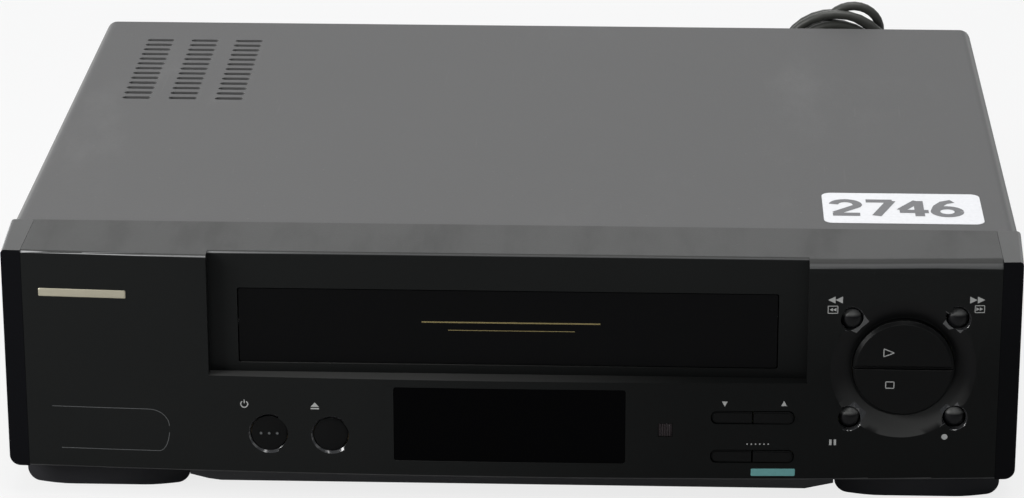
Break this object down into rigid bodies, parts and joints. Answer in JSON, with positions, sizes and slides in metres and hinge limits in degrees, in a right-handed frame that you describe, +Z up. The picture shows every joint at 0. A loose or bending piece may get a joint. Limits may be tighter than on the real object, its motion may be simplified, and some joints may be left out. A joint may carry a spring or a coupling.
{
  "type": "vhs video cassette recorder",
  "caption": "Front-loading VHS video cassette recorder with a bowed front, a round pair of play and stop keys, a full tape deck inside and a coiled mains lead",
  "frame": {"origin": "centre of the recorder's footprint, at the floor under its feet", "axes": "+X to the right seen from the front, +Y to the back, +Z up"},
  "size_m": [0.3658, 0.3894, 0.0993],
  "materials": {
    "cover_steel": "fine satin powder coat",
    "front_plastic": "fine grained moulded plastic",
    "trim_gloss": "polished",
    "flap_plastic": "very fine grain, darker than the front",
    "window_dark": "polished smoked window",
    "key_plastic": "satin",
    "key_gloss": "polished",
    "chassis_plastic": "moulded",
    "foot_plastic": "moulded",
    "rubber_black": "matt",
    "lead_rubber": "smooth, slightly shiny",
    "rear_steel": "satin paint",
    "screw_steel": "blackened",
    "zinc_steel": "zinc plated sheet",
    "drum_metal": "turned",
    "shaft_steel": "ground",
    "gear_plastic": "natural acetal",
    "grey_plastic": "moulded",
    "reel_plastic": "moulded",
    "board_laminate": "paper laminate board",
    "tin_plate": "tinned sheet",
    "display_glass": "glass tube",
    "core_steel": "varnished laminations"
  },
  "bodies": {
    "case": {"top_cover": "cover_steel", "bottom_chassis": "chassis_plastic", "rear_panel": "rear_steel", "front_panel": "front_plastic", "trim_left": "trim_gloss", "trim_right": "trim_gloss", "front_feet": "foot_plastic", "rear_feet": "rubber_black", "case_screws": "screw_steel", "display_window": "window_dark", "remote_window": "window_dark", "display_module": "display_glass", "key_board": "board_laminate", "deck_plate": "zinc_steel", "drum_lower": "drum_metal", "erase_head": "tin_plate", "audio_head": "tin_plate", "loading_motor": "tin_plate", "drive_belt": "rubber_black", "carriage_frame": "zinc_steel", "main_board": "board_laminate", "power_board": "board_laminate", "power_transformer": "core_steel", "tuner_module": "tin_plate", "scart_sockets": "key_plastic", "strain_relief": "rubber_black", "mains_lead": "lead_rubber", "lead_hank": "lead_rubber", "lead_tie": "chassis_plastic", "mains_plug": "lead_rubber"},
    "standby_button": {"standby_button": "key_plastic"},
    "eject_button": {"eject_button": "key_plastic"},
    "rewind_button": {"rewind_button": "key_gloss"},
    "fast_forward_button": {"fast_forward_button": "key_gloss"},
    "pause_button": {"pause_button": "key_gloss"},
    "record_button": {"record_button": "key_gloss"},
    "play_button": {"play_button": "key_plastic"},
    "stop_button": {"stop_button": "key_gloss"},
    "channel_down_button": {"channel_down_button": "key_plastic"},
    "channel_up_button": {"channel_up_button": "key_plastic"},
    "menu_button": {"menu_button": "key_plastic"},
    "set_button": {"set_button": "key_plastic"},
    "cassette_flap": {"cassette_flap": "flap_plastic"},
    "drum_upper": {"drum_upper": "drum_metal"},
    "supply_arm": {"supply_arm": "gear_plastic"},
    "takeup_arm": {"takeup_arm": "gear_plastic"},
    "cam_gear": {"cam_gear": "gear_plastic"},
    "worm_shaft": {"worm_shaft": "shaft_steel"},
    "capstan": {"capstan": "shaft_steel"},
    "clutch_pulley": {"clutch_pulley": "grey_plastic"},
    "idler_arm": {"idler_arm": "grey_plastic"},
    "supply_reel": {"supply_reel": "reel_plastic"},
    "takeup_reel": {"takeup_reel": "reel_plastic"},
    "pinch_arm": {"pinch_arm": "zinc_steel"},
    "pinch_roller": {"pinch_roller": "rubber_black"},
    "tension_arm": {"tension_arm": "zinc_steel"},
    "impedance_roller": {"impedance_roller": "shaft_steel"},
    "cassette_slider": {"cassette_slider": "zinc_steel"},
    "cassette_holder": {"cassette_holder": "zinc_steel"},
    "slider_gear": {"slider_gear": "gear_plastic"}
  },
  "joints": [
    {"name": "standby_press", "type": "slide", "parent": "case", "child": "standby_button", "axis": [0, 1, 0], "range_m": [0, 0.0008], "stiffness_N_per_m": 900},
    {"name": "eject_press", "type": "slide", "parent": "case", "child": "eject_button", "axis": [0, 1, 0], "range_m": [0, 0.0008], "stiffness_N_per_m": 900},
    {"name": "rewind_press", "type": "slide", "parent": "case", "child": "rewind_button", "axis": [0, 1, 0], "range_m": [0, 0.0008], "stiffness_N_per_m": 900},
    {"name": "fast_forward_press", "type": "slide", "parent": "case", "child": "fast_forward_button", "axis": [0, 1, 0], "range_m": [0, 0.0008], "stiffness_N_per_m": 900},
    {"name": "pause_press", "type": "slide", "parent": "case", "child": "pause_button", "axis": [0, 1, 0], "range_m": [0, 0.0008], "stiffness_N_per_m": 900},
    {"name": "record_press", "type": "slide", "parent": "case", "child": "record_button", "axis": [0, 1, 0], "range_m": [0, 0.0008], "stiffness_N_per_m": 900},
    {"name": "play_press", "type": "slide", "parent": "case", "child": "play_button", "axis": [0, 1, 0], "range_m": [0, 0.0008], "stiffness_N_per_m": 900},
    {"name": "stop_press", "type": "slide", "parent": "case", "child": "stop_button", "axis": [0, 1, 0], "range_m": [0, 0.0008], "stiffness_N_per_m": 900},
    {"name": "channel_down_press", "type": "slide", "parent": "case", "child": "channel_down_button", "axis": [0, 1, 0], "range_m": [0, 0.0008], "stiffness_N_per_m": 900},
    {"name": "channel_up_press", "type": "slide", "parent": "case", "child": "channel_up_button", "axis": [0, 1, 0], "range_m": [0, 0.0008], "stiffness_N_per_m": 900},
    {"name": "menu_press", "type": "slide", "parent": "case", "child": "menu_button", "axis": [0, 1, 0], "range_m": [0, 0.0008], "stiffness_N_per_m": 900},
    {"name": "set_press", "type": "slide", "parent": "case", "child": "set_button", "axis": [0, 1, 0], "range_m": [0, 0.0008], "stiffness_N_per_m": 900},
    {"name": "flap_swing", "type": "hinge", "parent": "case", "child": "cassette_flap", "pos_m": [-0.0009, -0.14885, 0.0768], "axis": [1, 0, 0], "range_deg": [0, 80], "stiffness_Nm_per_rad": 0.004},
    {"name": "drum_spin", "type": "hinge", "parent": "case", "child": "drum_upper", "pos_m": [-0.0009, 0.03565, 0.0466], "axis": [0.1028, 0, 0.9947], "continuous": true},
    {"name": "supply_swing", "type": "hinge", "parent": "case", "child": "supply_arm", "pos_m": [-0.009, 0.01965, 0.03], "axis": [0, 0, 1], "range_deg": [-95, 0]},
    {"name": "takeup_swing", "type": "hinge", "parent": "case", "child": "takeup_arm", "pos_m": [0.0072, 0.01965, 0.03], "axis": [0, 0, 1], "range_deg": [0, 95]},
    {"name": "cam_turn", "type": "hinge", "parent": "case", "child": "cam_gear", "pos_m": [-0.03335, 0.03371, 0.03], "axis": [0, 0, 1], "range_deg": [0, 38]},
    {"name": "worm_turn", "type": "hinge", "parent": "case", "child": "worm_shaft", "pos_m": [-0.05825, 0.03565, 0.0301], "axis": [0, 1, 0], "range_deg": [0, 1520]},
    {"name": "capstan_spin", "type": "hinge", "parent": "case", "child": "capstan", "pos_m": [0.0631, -0.00035, 0.03], "axis": [0, 0, 1], "continuous": true},
    {"name": "clutch_spin", "type": "hinge", "parent": "case", "child": "clutch_pulley", "pos_m": [-0.0009, -0.04035, 0.03], "axis": [0, 0, 1], "continuous": true},
    {"name": "idler_swing", "type": "hinge", "parent": "case", "child": "idler_arm", "pos_m": [-0.0009, -0.04035, 0.032], "axis": [0, 0, 1], "range_deg": [-40, 40]},
    {"name": "supply_reel_spin", "type": "hinge", "parent": "case", "child": "supply_reel", "pos_m": [-0.0471, -0.06135, 0.03], "axis": [0, 0, 1], "continuous": true},
    {"name": "takeup_reel_spin", "type": "hinge", "parent": "case", "child": "takeup_reel", "pos_m": [0.0453, -0.06135, 0.03], "axis": [0, 0, 1], "continuous": true},
    {"name": "pinch_swing", "type": "hinge", "parent": "case", "child": "pinch_arm", "pos_m": [0.0851, -0.00035, 0.035], "axis": [0, 0, 1], "range_deg": [-32, 0]},
    {"name": "pinch_roller_spin", "type": "hinge", "parent": "pinch_arm", "child": "pinch_roller", "pos_m": [0.07117, -0.01952, 0.04], "axis": [0, 0, 1], "continuous": true},
    {"name": "tension_swing", "type": "hinge", "parent": "case", "child": "tension_arm", "pos_m": [-0.0849, -0.00235, 0.035], "axis": [0, 0, 1], "range_deg": [0, 12], "stiffness_Nm_per_rad": 0.02},
    {"name": "impedance_roller_spin", "type": "hinge", "parent": "case", "child": "impedance_roller", "pos_m": [-0.0549, 0.00165, 0.04], "axis": [0, 0, 1], "continuous": true},
    {"name": "carriage_in", "type": "slide", "parent": "case", "child": "cassette_slider", "axis": [0, 1, 0], "range_m": [0, 0.055]},
    {"name": "holder_drop", "type": "slide", "parent": "cassette_slider", "child": "cassette_holder", "axis": [0, 0, -1], "range_m": [0, 0.0195]},
    {"name": "carriage_gear_turn", "type": "hinge", "parent": "case", "child": "slider_gear", "pos_m": [0.0991, -0.06435, 0.05388], "axis": [1, 0, 0], "range_deg": [-400, 5]}
  ],
  "couplings": [
    {"joint": "takeup_swing", "follows": "cam_turn", "ratio": 2.5},
    {"joint": "supply_swing", "follows": "cam_turn", "ratio": -2.5},
    {"joint": "worm_turn", "follows": "cam_turn", "ratio": 40},
    {"joint": "carriage_gear_turn", "follows": "carriage_in", "rad_per_m": -125}
  ]
}
